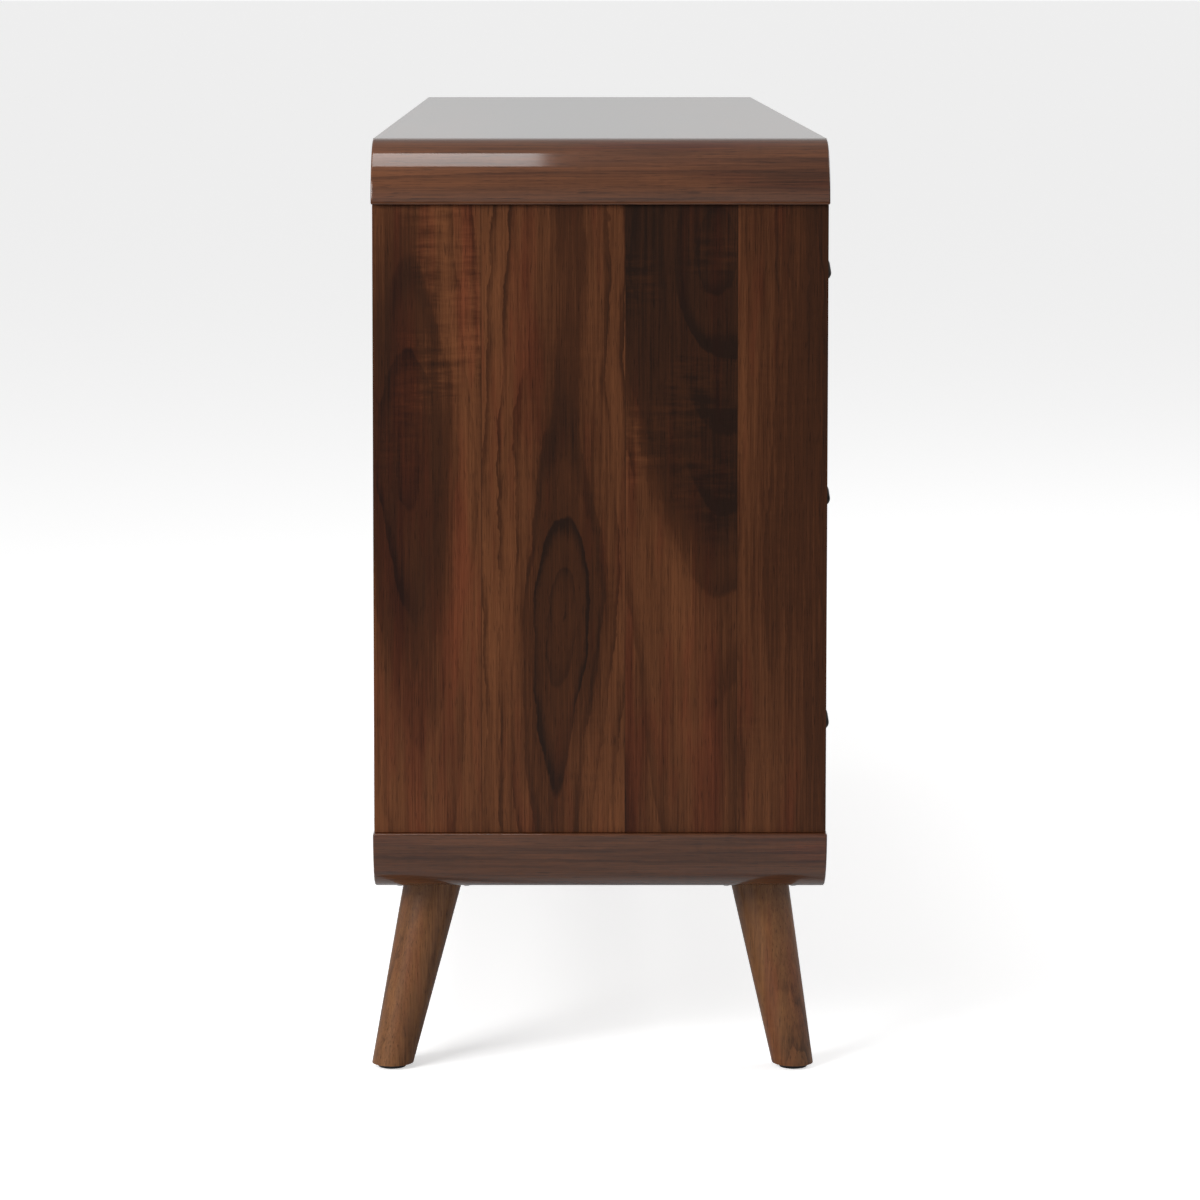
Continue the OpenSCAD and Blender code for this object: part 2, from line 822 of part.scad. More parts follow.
for (p = LEG_PLACES)
    leg(p[0], p[1]);

for (c = COLUMNS) {
    end_moulding("top", c);
    end_moulding("bottom", c);
    side_panel(c);
    divider(c);
    door(c);
    door_hinge_leaves(c);
    door_knob(c);
}

for (c = COLUMNS, row = [0:len(ROWS) - 1]) {
    name = str(c, "_", ROWS[row]);
    drawer_front(c, row);
    drawer_box(c, row);
    drawer_pull(c, row);
    drawer_rails(c, row);
    middle_rails(c, row);
}
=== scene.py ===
"""Looks of a walnut television console, built around its packed frame.

Every length is in metres. X runs along the console, the front faces -Y and Z is up. The figure of
each wooden piece is read from Object coordinates, turned so that its grain runs along Z.
"""

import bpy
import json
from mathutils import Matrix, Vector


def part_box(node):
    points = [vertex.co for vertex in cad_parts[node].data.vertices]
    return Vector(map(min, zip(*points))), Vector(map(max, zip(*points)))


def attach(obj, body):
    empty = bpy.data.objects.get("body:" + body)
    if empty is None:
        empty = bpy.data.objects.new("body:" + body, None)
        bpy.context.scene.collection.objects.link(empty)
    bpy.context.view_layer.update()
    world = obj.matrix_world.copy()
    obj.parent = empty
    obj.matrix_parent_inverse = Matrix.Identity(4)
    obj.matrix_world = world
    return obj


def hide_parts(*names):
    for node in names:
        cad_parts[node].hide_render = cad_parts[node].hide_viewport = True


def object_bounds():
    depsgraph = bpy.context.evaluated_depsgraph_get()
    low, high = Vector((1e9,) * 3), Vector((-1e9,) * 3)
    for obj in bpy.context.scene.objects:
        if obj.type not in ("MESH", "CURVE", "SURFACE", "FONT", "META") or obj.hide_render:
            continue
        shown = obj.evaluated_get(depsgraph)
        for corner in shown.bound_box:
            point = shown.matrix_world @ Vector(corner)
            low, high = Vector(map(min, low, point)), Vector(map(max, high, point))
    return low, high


bl_info = {
    "name": "Walnut Television Console",
    "version": (1, 0, 0),
    "blender": (4, 5, 0),
    "location": "View3D > Sidebar > Console",
    "description": "Builds the visible pieces, finishes and studio of a walnut television console",
    "category": "Object",
}

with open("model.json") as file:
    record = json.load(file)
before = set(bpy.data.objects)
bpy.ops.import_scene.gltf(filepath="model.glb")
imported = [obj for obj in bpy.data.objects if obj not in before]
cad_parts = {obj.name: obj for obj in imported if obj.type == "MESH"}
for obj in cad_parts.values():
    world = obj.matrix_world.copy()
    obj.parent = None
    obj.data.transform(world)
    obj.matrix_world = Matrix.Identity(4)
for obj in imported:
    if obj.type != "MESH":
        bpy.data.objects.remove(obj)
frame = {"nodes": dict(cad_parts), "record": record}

import json
import math

import bmesh
import bpy
from bpy.props import FloatProperty, FloatVectorProperty, PointerProperty
from mathutils import Vector

CAD_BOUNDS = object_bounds()
BODY_OF = {
    node: body for body, nodes in frame["record"]["behaviour"]["bodies"].items() for node in nodes}
COLUMNS = ("left", "right")
DRAWERS = [f"{column}_{row}" for column in COLUMNS for row in ("bottom", "middle", "top")]
LEGS = [f"{depth}_{column}_leg" for depth in ("front", "back") for column in COLUMNS]
MOULDINGS = [f"{level}_{column}_corner" for level in ("top", "bottom") for column in COLUMNS]
MERGE = 1e-6
TOUCH = 1e-5

# How far each part of the walnut's figure moves its colour
TONE_SWING = 0.75
STREAK_SWING = 0.75
CURL_SWING = 0.095
BLUSH_SHARE = 0.6
PORE_SHARE = 0.5
PORE_COLOUR = (0.006, 0.0035, 0.0026)
# Arrises are lightened towards a paler amber: partly edge wear, partly a painted highlight on the
# eased edges
WEAR_AND_HIGHLIGHT_SHARE = 0.45
WEAR_AND_HIGHLIGHT_LIFT = 1.5
SEAM_SHARE = 0.6
PLAIN = (1.0, 1.0, 1.0)
NO_CURL_LIMIT = -9.0


# ---------------------------------------------------------------- sizes and colours


def length(name, description, default, **more):
    return FloatProperty(
        name=name, description=description, default=default, min=0, unit="LENGTH", **more)


def colour(name, description, default):
    return FloatVectorProperty(
        name=name, description=description, default=default, size=3, subtype="COLOR", min=0, max=1)


class CaseSettings(bpy.types.PropertyGroup):
    """Edges of the woodwork"""

    panel_ease: length("Panel Ease", "Rounding of the panels' edges", 0.0008)
    moulding_ease: length("Moulding Ease", "Rounding of the end mouldings' edges", 0.0016)
    front_ease: length("Front Ease", "Rounding of the door and drawer front edges", 0.0012)
    foot_ease: length("Foot Ease", "Rounding around the foot of each leg", 0.0025)
    box_ease: length("Box Ease", "Rounding of the drawer boxes' edges", 0.0010)


class FittingSettings(bpy.types.PropertyGroup):
    """Metal and plastic fittings"""

    pull_wall: length("Pull Wall", "Wall of a cup pull", 0.002)
    pull_nose: length("Pull Nose", "Rounding of a cup pull's corners", 0.0085)
    pull_lean: length("Pull Lean", "How far a cup pull leans back at its top", 0.0026)
    pull_lip: length("Pull Lip", "Height of the pull's rim above the bottom of its hollow", 0.0030)
    rim_ease: length("Rim Ease", "Rounding of the pulls' rims", 0.0006)
    screw_pitch: length("Screw Pitch", "Distance between the screws of a pull", 0.064)
    fixing_head: length("Fixing Head", "Diameter of the screw heads of pulls and knobs", 0.008)
    fixing_head_t: length("Fixing Head Height", "Height of the same screw heads", 0.0022)
    fixing_shank: length("Fixing Shank", "Diameter of the same screws", 0.004)
    recess: length("Cross Recess", "Depth of the cross in a screw head", 0.0012)
    wood_shank: length("Wood Screw Shank", "Diameter of the wood screws", 0.0036)
    wood_head_t: length("Wood Screw Head", "Height of the wood screws' heads", 0.002)
    boss_root: length("Boss Root", "Radius of a pull's boss where it starts", 0.0040)
    boss_end: length("Boss End", "Radius of a pull's boss at its end", 0.0036)
    grommet_wall: length("Grommet Wall", "Wall of a cable grommet's sleeve", 0.004)
    grommet_lip: length("Grommet Lip", "How far a grommet's flange stands out", 0.007)
    grommet_flange: length("Grommet Flange", "Thickness of a grommet's flange", 0.002)
    flange_ease: length("Flange Ease", "Rounding of the flange's outer edge", 0.0009)
    bore_ease: length("Bore Ease", "Rounding of the grommet's mouth", 0.0012)
    steel_ease: length("Steel Ease", "Rounding of the slides, pins and plates", 0.0004)
    hinge_ease: length("Hinge Ease", "Rounding of the hinges' edges", 0.00018)


class VeneerSettings(bpy.types.PropertyGroup):
    """Walnut"""

    seams: FloatVectorProperty(
        name="End Panel Seams", description="Distance of each veneer seam from the back edge",
        size=3, default=(0.095, 0.221, 0.319), unit="LENGTH")
    seam_width: length("Seam Width", "Width of the dark line at each veneer seam", 0.0005)
    heart: colour("Heartwood", "Darkest colour of the figure", (0.0180, 0.0084, 0.0052))
    brown: colour("Brown", "Middle colour of the figure", (0.0560, 0.0192, 0.0080))
    amber: colour("Amber", "Lightest colour of the figure", (0.1600, 0.0560, 0.0215))
    russet: colour("Russet", "Tint of the redder patches", (1.0, 0.66, 0.74))


class StageSettings(bpy.types.PropertyGroup):
    """Camera and studio"""

    camera_distance: length("Camera Distance", "From the near end to the camera", 3.812)
    camera_above: length("Camera Above", "Height of the camera above the top", 0.1245)
    camera_aside: length("Camera Aside", "Camera's offset to the back from mid-depth", 0.0315)
    lens: FloatProperty(
        name="Lens", description="Focal length in millimetres", default=131.6, min=20, max=300)
    tilt: FloatProperty(
        name="Tilt", description="Downward tilt of the camera", default=math.radians(5),
        unit="ROTATION")
    aside: FloatProperty(
        name="Lens Shift Aside", description="Sideways shift of the lens, as a share of its frame",
        default=0.0298)
    sink: FloatProperty(
        name="Lens Shift Down", description="How far the lens sinks from its level view",
        default=0.503)
    softbox: FloatProperty(
        name="Softbox Power", description="Watts of the overhead softbox", default=14, min=0)
    fill: FloatProperty(
        name="Fill Power", description="Watts of each fill light", default=60, min=0)
    surround: FloatProperty(
        name="Surround", description="Brightness of the studio around the console", default=0.62,
        min=0)


GROUPS = {
    "console_case": CaseSettings, "console_fittings": FittingSettings,
    "console_veneer": VeneerSettings, "console_stage": StageSettings}


# ---------------------------------------------------------------- node helpers


def link_or_set(tree, socket, value):
    """Links a socket to another, or sets its value"""
    if isinstance(value, bpy.types.NodeSocket):
        tree.links.new(value, socket)
    elif isinstance(value, tuple) and socket.type == "RGBA":
        socket.default_value = (*value, 1.0)
    else:
        socket.default_value = value


def add_node(tree, kind, inputs, **settings):
    """A node of a kind with its settings and inputs"""
    node = tree.nodes.new(kind)
    for key, value in settings.items():
        setattr(node, key, value)
    for key, value in inputs.items():
        link_or_set(tree, node.inputs[key], value)
    return node


def maths(tree, operation, a, b=0.0, clamp=False):
    node = add_node(tree, "ShaderNodeMath", {0: a, 1: b}, operation=operation, use_clamp=clamp)
    return node.outputs[0]


def added(tree, *values):
    total = values[0]
    for value in values[1:]:
        total = maths(tree, "ADD", total, value)
    return total


def swing(tree, value, amount):
    """A value from 0 to 1 made to swing about zero by an amount"""
    return maths(tree, "MULTIPLY", maths(tree, "SUBTRACT", value, 0.5), amount)


def vector_maths(tree, operation, a, b):
    return add_node(tree, "ShaderNodeVectorMath", {0: a, 1: b}, operation=operation).outputs[0]


def noise(tree, vector, scale, detail=2.0, roughness=0.5):
    """Noise whose three scales, per metre, may differ so that it is drawn out along the grain"""
    stretched = vector_maths(tree, "MULTIPLY", vector, scale)
    node = add_node(
        tree, "ShaderNodeTexNoise",
        {"Vector": stretched, "Scale": 1.0, "Detail": detail, "Roughness": roughness})
    return node.outputs["Fac"]


def ranged(tree, value, low, high, to_low=0.0, to_high=1.0):
    node = add_node(
        tree, "ShaderNodeMapRange",
        {"Value": value, "From Min": low, "From Max": high, "To Min": to_low, "To Max": to_high},
        interpolation_type="SMOOTHSTEP")
    return node.outputs[0]


def mixed(tree, fac, a, b, blend="MIX"):
    node = add_node(
        tree, "ShaderNodeMix", {0: fac, 6: a, 7: b}, data_type="RGBA", blend_type=blend)
    return node.outputs[2]


def ramp(tree, value, stops):
    node = add_node(tree, "ShaderNodeValToRGB", {0: value})
    elements = node.color_ramp.elements
    while len(elements) < len(stops):
        elements.new(0.5)
    for element, (place, tone) in zip(elements, stops):
        element.position = place
        element.color = (*tone, 1.0)
    return node.outputs[0]


def new_group(name, inputs, outputs):
    """An empty shader group with named sockets, its given sockets and the sockets it puts out"""
    tree = bpy.data.node_groups.new(name, "ShaderNodeTree")
    for socket, value in inputs.items():
        kind = "NodeSocketFloat" if isinstance(value, float) else "NodeSocketVector"
        tree.interface.new_socket(socket, in_out="INPUT", socket_type=kind).default_value = value
    for socket in outputs:
        tree.interface.new_socket(socket, in_out="OUTPUT", socket_type="NodeSocketFloat")
    return tree, tree.nodes.new("NodeGroupInput").outputs, tree.nodes.new("NodeGroupOutput").inputs


def walnut_figure():
    """Growth rings around a slanting heart, with grain streaks, pores, curl and broad tones"""
    name = "Walnut Figure"
    if name in bpy.data.node_groups:
        return bpy.data.node_groups[name]
    tree, given, made = new_group(
        name,
        {"Vector": (0.0, 0.0, 0.0), "Heart": (0.0, 0.0, 0.0), "Ring Width": 0.012,
         "Depth": 0.035, "Reach": 0.12, "Curl Amount": 0.5, "Curl Above": 0.0},
        ("Distance", "Rings", "Streaks", "Pores", "Curl", "Tone", "Blush"))
    vector = given["Vector"]
    sway = swing(tree, noise(tree, vector, (6, 6, 2.6), 2), 0.050)
    shiver = swing(tree, noise(tree, vector, (46, 46, 16), 4, 0.65), 0.016)
    axes = add_node(
        tree, "ShaderNodeSeparateXYZ", {0: vector_maths(tree, "SUBTRACT", vector, given["Heart"])}
    ).outputs
    across = added(tree, axes[0], sway, shiver)
    sunk = maths(tree, "MULTIPLY", given["Depth"], maths(
        tree, "TANH", maths(tree, "DIVIDE", axes[2], given["Reach"])))
    squares = [maths(tree, "MULTIPLY", value, value) for value in (across, axes[1], sunk)]
    distance = maths(tree, "SQRT", added(tree, *squares))
    tree.links.new(distance, made["Distance"])

    drift = swing(tree, noise(tree, vector, (12, 12, 3), 1), 2.2)
    turns = added(tree, maths(tree, "DIVIDE", distance, given["Ring Width"]), drift)
    ring = maths(tree, "FRACT", turns)
    late = maths(tree, "MULTIPLY", ranged(tree, ring, 0.45, 0.90), ranged(tree, ring, 1.0, 0.92))
    unlike = noise(
        tree, add_node(tree, "ShaderNodeCombineXYZ", {0: turns}).outputs[0], (0.7, 0, 0), 1)
    shown = maths(tree, "MULTIPLY", ranged(tree, unlike, 0.35, 0.65, 0.15, 1.0), ranged(
        tree, noise(tree, vector, (14, 14, 4), 2), 0.40, 0.58, 0.15, 1.0))
    tree.links.new(maths(tree, "MULTIPLY", late, shown), made["Rings"])
    tree.links.new(noise(tree, vector, (480, 480, 9), 4, 0.7), made["Streaks"])
    tree.links.new(
        ranged(tree, noise(tree, vector, (1500, 1500, 60), 1), 0.58, 0.72), made["Pores"])
    height = add_node(tree, "ShaderNodeSeparateXYZ", {0: vector}).outputs[2]
    waves = swing(tree, noise(tree, vector, (26, 26, 150), 3, 0.6), 4.0)
    patches = ranged(tree, noise(tree, vector, (17, 17, 13), 2), 0.44, 0.62)
    start = maths(tree, "SUBTRACT", height, given["Curl Above"])
    curl = maths(tree, "MULTIPLY", maths(tree, "MULTIPLY", waves, patches), given["Curl Amount"])
    tree.links.new(
        maths(tree, "MULTIPLY", curl, ranged(tree, start, -0.06, 0.06)), made["Curl"])
    tree.links.new(noise(tree, vector, (16, 16, 2.2), 3, 0.6), made["Tone"])
    tree.links.new(
        ranged(tree, noise(tree, vector, (34, 34, 4), 3, 0.6), 0.50, 0.70), made["Blush"])
    return tree


def worn_and_highlit_edges():
    """A mask of lighter arrises, partly wear and partly a painted highlight, from how far a
    surface turns nearby and a patchy noise
    """
    name = "Worn Edges"
    if name in bpy.data.node_groups:
        return bpy.data.node_groups[name]
    tree, given, made = new_group(
        name, {"Vector": (0.0, 0.0, 0.0), "Turn": 0.0, "Amount": 0.5}, ("Wear And Highlight",))
    edge = ranged(tree, given["Turn"], 0.01, 0.20)
    edge_patches = ranged(tree, noise(tree, given["Vector"], (30, 30, 30), 3, 0.6), 0.35, 0.65, 0.3, 1.0)
    tree.links.new(
        maths(tree, "MULTIPLY", maths(tree, "MULTIPLY", edge, edge_patches), given["Amount"]),
        made["Wear And Highlight"])
    return tree


def wear_and_highlight_mask(tree, amount):
    """The edges of a piece lightened partly by wear and partly as a painted highlight, as a mask
    between 0 and an amount
    """
    rounded = add_node(tree, "ShaderNodeBevel", {"Radius": 0.0016}, samples=4).outputs[0]
    normal = add_node(tree, "ShaderNodeNewGeometry", {}).outputs["Normal"]
    alike = add_node(
        tree, "ShaderNodeVectorMath", {0: rounded, 1: normal}, operation="DOT_PRODUCT").outputs[1]
    group = add_node(tree, "ShaderNodeGroup", {}, node_tree=worn_and_highlit_edges())
    turn = maths(tree, "SUBTRACT", 1.0, alike)
    for key, value in (("Vector", object_place(tree)), ("Turn", turn), ("Amount", amount)):
        link_or_set(tree, group.inputs[key], value)
    return group.outputs["Wear And Highlight"]


def new_material(name):
    material = bpy.data.materials.new(name)
    material.use_nodes = True
    return material, material.node_tree, material.node_tree.nodes["Principled BSDF"]


def set_shader(shader, **values):
    for key, value in values.items():
        shader.inputs[key.replace("_", " ")].default_value = value


def bump(tree, shader, height, strength, distance):
    node = add_node(
        tree, "ShaderNodeBump", {"Height": height, "Strength": strength, "Distance": distance})
    tree.links.new(node.outputs[0], shader.inputs["Normal"])


def object_place(tree):
    return add_node(tree, "ShaderNodeTexCoord", {}).outputs["Object"]


def figure_of(tree, vector, heart, ring_width, depth, reach, curl, curl_above=NO_CURL_LIMIT):
    """The outputs of a walnut figure with its settings"""
    group = add_node(tree, "ShaderNodeGroup", {}, node_tree=walnut_figure())
    for key, value in (
            ("Vector", vector), ("Heart", heart), ("Ring Width", ring_width), ("Depth", depth),
            ("Reach", reach), ("Curl Amount", curl), ("Curl Above", curl_above)):
        link_or_set(tree, group.inputs[key], value)
    return group.outputs


def walnut_look(tree, shader, figure, level, core, edge, dark=0.36, rings=0.16,
                lift=PLAIN, depth=0.18):
    """Colours a figure, dark inside its core and lighter beyond its edge, under satin lacquer"""
    veneer = bpy.context.scene.console_veneer
    inside = ranged(tree, figure["Distance"], edge, core)
    inside_dark = maths(tree, "MULTIPLY", inside, maths(tree, "MULTIPLY", dark, -1.0))
    ring_dark = maths(tree, "MULTIPLY", figure["Rings"], maths(tree, "MULTIPLY", rings, -1.0))
    value = added(
        tree, level, inside_dark, ring_dark, swing(tree, figure["Tone"], TONE_SWING),
        swing(tree, figure["Streaks"], STREAK_SWING),
        maths(tree, "MULTIPLY", figure["Curl"], CURL_SWING))
    tones = [
        tuple(c * up for c, up in zip(tone, lift))
        for tone in (veneer.heart, veneer.brown, veneer.amber)]
    wood = ramp(tree, value, [(0.05, tones[0]), (0.5, tones[1]), (0.95, tones[2])])
    wood = mixed(
        tree, maths(tree, "MULTIPLY", figure["Blush"], BLUSH_SHARE), wood,
        mixed(tree, 1.0, wood, tuple(veneer.russet), "MULTIPLY"))
    wood = mixed(
        tree, maths(tree, "MULTIPLY", figure["Pores"], PORE_SHARE), wood, PORE_COLOUR)
    # Arrises painted lighter: partly wear, partly a painted highlight
    wear_and_highlight = tuple(c * WEAR_AND_HIGHLIGHT_LIFT for c in tones[2])
    wood = mixed(tree, wear_and_highlight_mask(tree, WEAR_AND_HIGHLIGHT_SHARE), wood, wear_and_highlight)
    tree.links.new(wood, shader.inputs["Base Color"])
    tree.links.new(
        added(tree, 0.34, maths(tree, "MULTIPLY", figure["Streaks"], 0.18)),
        shader.inputs["Roughness"])
    height = maths(
        tree, "SUBTRACT", maths(tree, "MULTIPLY", figure["Streaks"], 0.35), figure["Pores"])
    bump(tree, shader, height, depth, 0.0002)
    set_shader(shader, Specular_IOR_Level=0.08)
    return wood


# ---------------------------------------------------------------- finishes

ALONG_X = (0.0, math.radians(-90), 0.0)
ALONG_Y = (math.radians(90), 0.0, 0.0)
ALONG_Z = (0.0, 0.0, 0.0)


def turned_grain(tree, turn, shift=(0.0, 0.0, 0.0)):
    """Object coordinates with the grain turned to Z, moved to a fresh part of the log"""
    node = add_node(
        tree, "ShaderNodeMapping",
        {"Vector": object_place(tree), "Rotation": turn, "Location": shift}, vector_type="POINT")
    return node.outputs[0]


def walnut(name, turn, heart, level=0.5, shift=(0.0, 0.0, 0.0), ring_width=0.014, depth=0.04,
           reach=0.4, curl=0.5, core=0.02, edge=0.12, dark=0.3, rings=0.16,
           lift=PLAIN, coat=0.2, coat_rough=0.2, grain_depth=0.18):
    """Walnut with one figure over the whole piece"""
    material, tree, shader = new_material(name)
    figure = figure_of(
        tree, turned_grain(tree, turn, shift), heart, ring_width, depth, reach, curl)
    walnut_look(tree, shader, figure, level, core, edge, dark, rings, lift, grain_depth)
    set_shader(shader, Coat_Weight=coat, Coat_Roughness=coat_rough)
    return material


# The strips of an end panel from back to front. The heart is given as its distance from the back
# edge and its height above the floor; its wood is dark within the core and light beyond the edge
STRIPS = (
    {"heart": (0.036, 0.560), "ring": 0.0150, "depth": 0.055, "reach": 0.240, "core": 0.026,
     "edge": 0.050, "level": 0.78, "curl": 2.4, "dark": 0.42, "rings": 0.34, "curl_above": 0.56},
    {"heart": (0.166, 0.420), "ring": 0.0125, "depth": 0.036, "reach": 0.125, "core": 0.020,
     "edge": 0.054, "level": 0.73, "curl": 0.3, "dark": 0.28, "rings": 0.44, "curl_above": 0.0},
    {"heart": (0.306, 0.740), "ring": 0.0190, "depth": 0.130, "reach": 0.300, "core": 0.082,
     "edge": 0.106, "level": 0.67, "curl": 2.0, "dark": 0.50, "rings": 0.36, "curl_above": 0.50},
    {"heart": (0.450, 0.420), "ring": 0.0130, "depth": 0.020, "reach": 0.300, "core": 0.050,
     "edge": 0.130, "level": 0.66, "curl": 0.3, "dark": 0.26, "rings": 0.18, "curl_above": 0.0},
)


def strip_veneer(column, slice_place):
    """Four upright strips of veneer, each with a figure of its own"""
    veneer = bpy.context.scene.console_veneer
    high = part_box(f"{column}_side_panel")[1]
    material, tree, shader = new_material(f"{column} end veneer")
    axes = add_node(tree, "ShaderNodeSeparateXYZ", {0: object_place(tree)}).outputs
    from_back = maths(tree, "SUBTRACT", high.y, axes[1])
    beyond = [maths(tree, "GREATER_THAN", from_back, seam) for seam in veneer.seams]

    def chosen(values):
        """The three numbers that hold for the strip in which the point lies"""
        found = values[0]
        for mask, value in zip(beyond, values[1:]):
            found = mixed(tree, mask, found, value)
        return add_node(tree, "ShaderNodeSeparateXYZ", {0: found}).outputs

    heart = chosen([(*strip["heart"], 0.1 * index) for index, strip in enumerate(STRIPS)])
    shape = chosen([(strip["ring"], strip["depth"], strip["reach"]) for strip in STRIPS])
    tones = chosen([(strip["core"], strip["edge"], strip["level"]) for strip in STRIPS])
    depths = chosen([(strip["curl"], strip["dark"], strip["rings"]) for strip in STRIPS])
    above = chosen([(strip["curl_above"], 0.0, 0.0) for strip in STRIPS])[0]
    slice_y = maths(tree, "ADD", heart[2], slice_place)
    figure = figure_of(
        tree,
        add_node(tree, "ShaderNodeCombineXYZ", {0: from_back, 1: slice_y, 2: axes[2]}).outputs[0],
        add_node(tree, "ShaderNodeCombineXYZ", {0: heart[0], 1: slice_y, 2: heart[1]}).outputs[0],
        shape[0], shape[1], shape[2], depths[0], above)
    wood = walnut_look(
        tree, shader, figure, tones[2], tones[0], tones[1], depths[1], depths[2])
    for seam in veneer.seams:
        off = maths(tree, "ABSOLUTE", maths(tree, "SUBTRACT", from_back, seam))
        line = ranged(tree, off, veneer.seam_width, 0.3 * veneer.seam_width, 0.0, SEAM_SHARE)
        wood = mixed(tree, line, wood, tuple(veneer.heart))
    tree.links.new(wood, shader.inputs["Base Color"])
    set_shader(shader, Coat_Weight=0.12, Coat_Roughness=0.2)
    return material


def mottled(name, stops, scale, rough, bump_scale, bump_strength, **settings):
    """A finish whose colour and roughness follow one noise and whose bump follows a finer one"""
    material, tree, shader = new_material(name)
    place = object_place(tree)
    clouds = noise(tree, place, scale, 4, 0.6)
    grit = noise(tree, place, bump_scale, 3, 0.6)
    # Edges painted lighter: partly wear, partly a painted highlight
    wear_and_highlight = wear_and_highlight_mask(tree, 0.6)
    base = ramp(tree, clouds, list(zip((0.3, 0.7), stops)))
    tree.links.new(
        mixed(tree, wear_and_highlight, base, tuple(min(1.0, 1.8 * c) for c in stops[1])),
        shader.inputs["Base Color"])
    tree.links.new(ranged(tree, clouds, 0.3, 0.7, *rough), shader.inputs["Roughness"])
    bump(tree, shader, grit, bump_strength, 0.0002)
    set_shader(shader, **settings)
    return material


def maple(name, turn):
    """Pale close-grained hardwood with a thin lacquer"""
    material, tree, shader = new_material(name)
    figure = figure_of(
        tree, turned_grain(tree, turn), (0.10, 0.25, 0.0), 0.012, 0.05, 0.6, 0.4)
    value = added(
        tree, maths(tree, "MULTIPLY", figure["Rings"], 0.35), swing(tree, figure["Tone"], 0.6),
        swing(tree, figure["Streaks"], 0.5), 0.4)
    wood = ramp(tree, value, [(0.1, (0.60, 0.43, 0.26)), (0.9, (0.43, 0.28, 0.15))])
    # Edges painted lighter: partly wear, partly a painted highlight
    tree.links.new(
        mixed(tree, wear_and_highlight_mask(tree, 0.4), wood, (0.70, 0.54, 0.36)), shader.inputs["Base Color"])
    tree.links.new(
        added(tree, 0.42, maths(tree, "MULTIPLY", figure["Streaks"], 0.15)),
        shader.inputs["Roughness"])
    bump(tree, shader, figure["Streaks"], 0.10, 0.0002)
    set_shader(shader, Coat_Weight=0.15, Coat_Roughness=0.3)
    return material


FINISHES = {
    "left end": lambda: strip_veneer("left", 0.37),
    "right end": lambda: strip_veneer("right", 2.81),
    "moulding": lambda: walnut(
        "solid walnut", ALONG_Y, (-0.70, 0.0, 0.10), 0.66, ring_width=0.010, core=0.02, edge=0.05,
        dark=0.1, rings=0.16, curl=0.3, coat=1.0, coat_rough=0.07),
    "leg": lambda: walnut(
        "leg walnut", ALONG_Z, (0.60, 0.10, 0.1), 0.72, ring_width=0.012, dark=0.0, rings=0.30,
        lift=(1.40, 1.66, 1.50), coat=0.5, coat_rough=0.2),
    "top": lambda: walnut(
        "top veneer", ALONG_X, (-0.83, 0.03, -0.62), 0.56, depth=0.05, reach=0.45,
        core=0.03, edge=0.11, coat=1.0, coat_rough=0.10, grain_depth=0.03),
    "front": lambda: walnut(
        "front veneer", ALONG_X, (-0.46, -0.19, 0.24), 0.60, depth=0.06, reach=0.50, core=0.03,
        edge=0.16, dark=0.34, coat=0.3),
    "inside": lambda: walnut("inside veneer", ALONG_Z, (0.1, -0.06, 0.45), 0.52),
    "maple x": lambda: maple("maple front and back", ALONG_X),
    "maple y": lambda: maple("maple sides", ALONG_Y),
    "board": lambda: mottled(
        "back board", ((0.060, 0.031, 0.019), (0.105, 0.058, 0.036)), (9, 9, 9), (0.60, 0.76),
        (600, 600, 600), 0.2),
    "bronze": lambda: mottled(
        "dark bronze", ((0.010, 0.008, 0.007), (0.034, 0.025, 0.019)), (90, 90, 90), (0.28, 0.42),
        (1200, 1200, 1200), 0.06, Metallic=0.85),
    "zinc": lambda: mottled(
        "zinc steel", ((0.42, 0.43, 0.45), (0.60, 0.60, 0.60)), (60, 12, 60), (0.24, 0.40),
        (1200, 12, 1200), 0.08, Metallic=1.0),
    "plastic": lambda: mottled(
        "black plastic", ((0.012, 0.012, 0.013), (0.024, 0.024, 0.025)), (40, 40, 40),
        (0.42, 0.58), (1400, 1400, 1400), 0.15),
}
made_finishes = {}


def finish(name):
    """The named finish, made the first time that it is asked for"""
    if name not in made_finishes:
        made_finishes[name] = FINISHES[name]()
    return made_finishes[name]


# ---------------------------------------------------------------- shaping


def select_only(*pieces):
    bpy.ops.object.select_all(action="DESELECT")
    for piece in pieces:
        piece.select_set(True)
    bpy.context.view_layer.objects.active = pieces[0]


def edit(piece, select="SELECT"):
    """Opens a piece in edit mode with all of it, or none of it, selected"""
    select_only(piece)
    bpy.ops.object.mode_set(mode="EDIT")
    bpy.ops.mesh.select_all(action=select)


def close():
    bpy.ops.object.mode_set(mode="OBJECT")


def pick(piece, kind, test):
    """In edit mode, selects the faces, edges or corners whose middle passes a test"""
    bpy.ops.mesh.select_mode(type=kind)
    bpy.ops.mesh.select_all(action="DESELECT")
    mesh = bmesh.from_edit_mesh(piece.data)
    items = {"FACE": mesh.faces, "EDGE": mesh.edges, "VERT": mesh.verts}[kind]
    for item in items:
        points = [item.co] if kind == "VERT" else [v.co for v in item.verts]
        if test(item, sum(points, Vector()) / len(points)):
            item.select_set(True)
    bmesh.update_edit_mesh(piece.data)


def settle(piece):
    """Puts the piece's place, turn and size into its mesh"""
    select_only(piece)
    bpy.ops.object.transform_apply(location=True, rotation=True, scale=True)


def apply_modifier(piece, kind, **settings):
    select_only(piece)
    modifier = piece.modifiers.new(kind.title(), kind)
    for key, value in settings.items():
        setattr(modifier, key, value)
    bpy.ops.object.modifier_apply(modifier=modifier.name)


